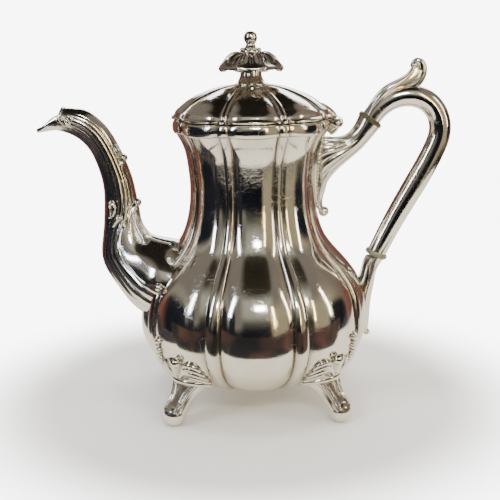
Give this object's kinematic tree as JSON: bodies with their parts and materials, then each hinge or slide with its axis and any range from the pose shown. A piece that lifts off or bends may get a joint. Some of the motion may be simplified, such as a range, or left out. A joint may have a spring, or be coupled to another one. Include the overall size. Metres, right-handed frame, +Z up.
{
  "type": "coffee pot",
  "caption": "Silver-plated melon-shaped coffee pot with lobed body, beaked spout, hinged domed lid, petal finial, insulated C handle and scroll feet.",
  "frame": {"origin": "on the table, under the middle of the whole pot's bounding box; the pot's upright axis is 4.5 mm towards the handle from it", "axes": "+Z up, +X towards the handle and away from the spout, +Y away from the viewed side"},
  "size_m": [0.2691, 0.1518, 0.2445],
  "materials": {
    "silver_plate": "polished silver plate, faintly warm, fine wiping scratches",
    "cast_silver": "polished cast and chased silver plate, tarnish in the recesses",
    "pin_metal": "plain white metal",
    "olive_bone": "aged olive-brown bone",
    "grey_bone": "aged grey-green bone"
  },
  "bodies": {
    "pot": {"body_front_half": "silver_plate", "body_back_half": "silver_plate", "base_plate": "silver_plate", "rim_collar": "silver_plate", "handle_grip": "silver_plate", "spout": "cast_silver", "foot_front_left": "cast_silver", "foot_front_right": "cast_silver", "foot_back_right": "cast_silver", "foot_back_left": "cast_silver", "handle_upper_socket": "cast_silver", "thumb_scroll": "cast_silver", "handle_lower_socket": "cast_silver", "hinge_body_leaf": "cast_silver", "upper_socket_pin": "pin_metal", "upper_grip_pin": "pin_metal", "lower_grip_pin": "pin_metal", "lower_socket_pin": "pin_metal", "hinge_pin": "pin_metal", "upper_insulator": "olive_bone", "lower_insulator": "grey_bone"},
    "lid": {"hinge_lid_leaf": "cast_silver", "lid_dome": "silver_plate", "lid_bezel": "silver_plate", "finial_collar": "cast_silver", "finial_stem": "cast_silver", "finial_skirt": "cast_silver", "finial_knop": "cast_silver", "finial_stud": "pin_metal", "finial_washer": "pin_metal", "finial_nut": "pin_metal"}
  },
  "joints": [
    {"name": "lid_hinge", "type": "hinge", "parent": "pot", "child": "lid", "pos_m": [0.0599, 0, 0.1862], "axis": [0, 1, 0], "range_deg": [0, 92]}
  ]
}
